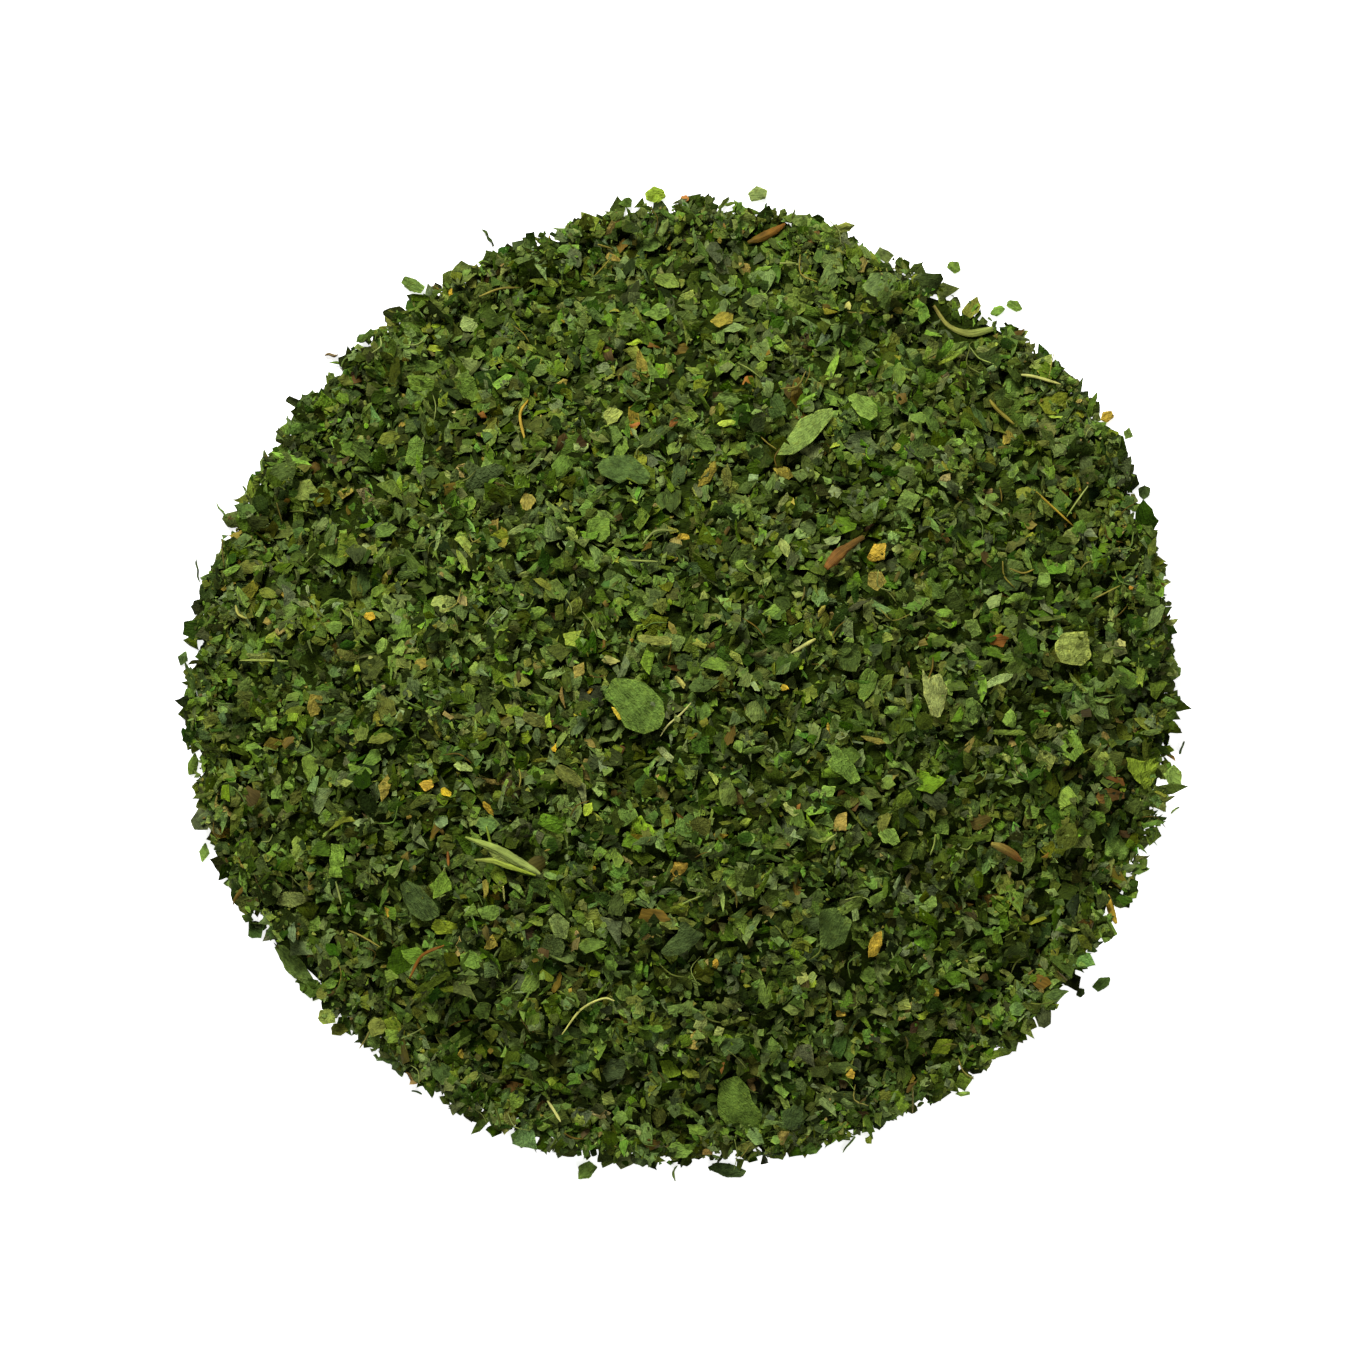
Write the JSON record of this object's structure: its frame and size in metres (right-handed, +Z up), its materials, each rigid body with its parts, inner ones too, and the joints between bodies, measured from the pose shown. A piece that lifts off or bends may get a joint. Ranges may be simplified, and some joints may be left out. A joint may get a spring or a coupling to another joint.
{
  "type": "heap of dried spinach flakes",
  "caption": "Round, low heap of dried, cut spinach leaf with larger leaf pieces, gold bits, stalk splinters and stray flakes round it.",
  "frame": {"origin": "on the table, under the middle of the box round everything that lies there", "axes": "+Z up out of the table, +X to the right of the picture, +Y towards the top of the picture"},
  "size_m": [0.112, 0.1106, 0.0235],
  "materials": {
    "heap_green": "dried leaf, matt, grey-green to olive, with darker and yellower flakes",
    "leaf_green": "dried leaf, matt with a slight sheen, mid green",
    "leaf_dark": "dried leaf, matt, dark green",
    "leaf_olive": "dried leaf, matt, olive to yellow-green",
    "leaf_gold": "leaf dried to gold or yellow-brown, matt",
    "stalk_brown": "splinter of dried stalk, red-brown, slightly glossy along its fibres",
    "stem_pale": "dried pale stem, straw to light green, fibrous"
  },
  "bodies": {
    "root": {"brown_bit_top": "stalk_brown", "flake_heap": "heap_green", "gold_bit_centre": "leaf_gold", "gold_bit_front": "leaf_gold", "gold_bit_left": "leaf_gold", "gold_bit_right": "leaf_gold", "gold_bit_seed": "leaf_gold", "leaf_back_dark": "leaf_dark", "leaf_brown_green": "leaf_olive", "leaf_bud": "leaf_olive", "leaf_centre": "leaf_green", "leaf_corner_square": "leaf_green", "leaf_front_dark": "leaf_dark", "leaf_front_large": "leaf_green", "leaf_front_pale": "leaf_green", "leaf_front_square": "leaf_green", "leaf_left_dark": "leaf_dark", "leaf_left_square": "leaf_green", "leaf_long": "leaf_green", "leaf_right_bright": "leaf_green", "leaf_right_green": "leaf_green", "leaf_right_olive": "leaf_olive", "leaf_right_pale": "leaf_green", "leaf_right_small": "leaf_green", "leaf_rim_long": "leaf_green", "leaf_round": "leaf_green", "leaf_square": "leaf_green", "leaf_top": "leaf_green", "leaf_top_olive": "leaf_olive", "splinter_brown": "stalk_brown", "splinter_red_brown": "stalk_brown", "splinter_rim": "stem_pale", "splinter_top": "stalk_brown", "stem_green": "leaf_green", "stem_pale_forked": "stem_pale", "stem_tan": "stem_pale", "stray_flake_01": "leaf_dark", "stray_flake_02": "leaf_green", "stray_flake_03": "stalk_brown", "stray_flake_04": "leaf_green", "stray_flake_05": "leaf_dark", "stray_flake_06": "leaf_dark", "stray_flake_07": "leaf_green", "stray_flake_08": "leaf_green", "stray_flake_09": "leaf_dark", "stray_flake_10": "leaf_dark", "stray_flake_11": "leaf_green", "stray_flake_12": "leaf_green", "stray_flake_13": "leaf_dark", "stray_flake_14": "leaf_green", "stray_flake_15": "leaf_dark", "stray_flake_16": "leaf_green", "stray_flake_17": "leaf_dark", "stray_flake_18": "leaf_dark", "stray_flake_19": "leaf_gold", "stray_flake_20": "leaf_green", "stray_flake_21": "leaf_green", "stray_flake_22": "leaf_green", "stray_flake_23": "leaf_green", "stray_flake_24": "leaf_green"}
  },
  "joints": []
}
